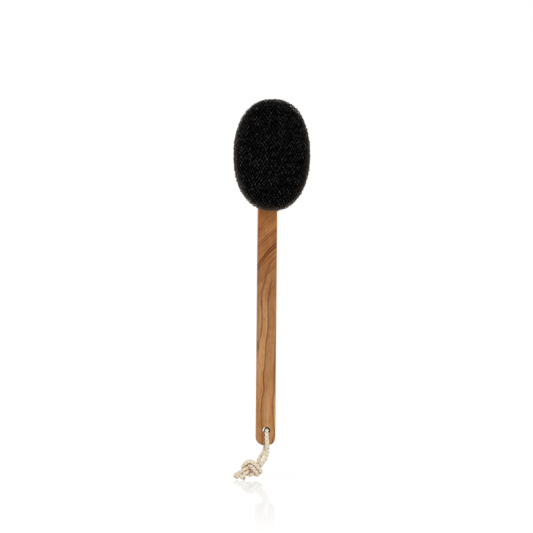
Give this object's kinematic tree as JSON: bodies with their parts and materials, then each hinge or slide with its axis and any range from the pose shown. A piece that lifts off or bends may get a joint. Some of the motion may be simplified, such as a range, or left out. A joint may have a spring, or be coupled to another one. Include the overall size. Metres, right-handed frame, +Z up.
{
  "type": "body dry brush",
  "caption": "Long-handled body dry brush: a flat wooden handle, an oval foam pad under coarse black net on a wooden board, and a knotted cotton hanging cord.",
  "frame": {"origin": "middle of the grip, on the handle's centre line, 70 mm above the handle's lower end", "axes": "+Z up along the handle towards the head, -Y out of the brushing side, +X to the right as seen from the brushing side"},
  "size_m": [0.084, 0.0475, 0.4158],
  "materials": {
    "handle_wood": "oiled teak, satin",
    "board_wood": "sanded and oiled",
    "screw_brass": "dull brass",
    "black_foam": "open-cell foam",
    "black_net": "coarse knit of stiff glossy filament",
    "black_tape": "woven tape",
    "cotton_cord": "plaited cotton"
  },
  "bodies": {
    "brush": {"handle": "handle_wood", "head_board": "board_wood", "board_screw_lower": "screw_brass", "board_screw_upper": "screw_brass", "foam_core": "black_foam", "knit_cover": "black_net", "edge_band": "black_tape"},
    "hang_cord": {"cord_front_strand": "cotton_cord", "cord_back_strand": "cotton_cord", "cord_knot": "cotton_cord", "cord_end_left": "cotton_cord", "cord_end_right": "cotton_cord"}
  },
  "joints": [
    {"name": "cord_swing", "type": "hinge", "parent": "brush", "child": "hang_cord", "pos_m": [0, 0, -0.0535], "axis": [0, 1, 0], "range_deg": [-140, 100]}
  ]
}
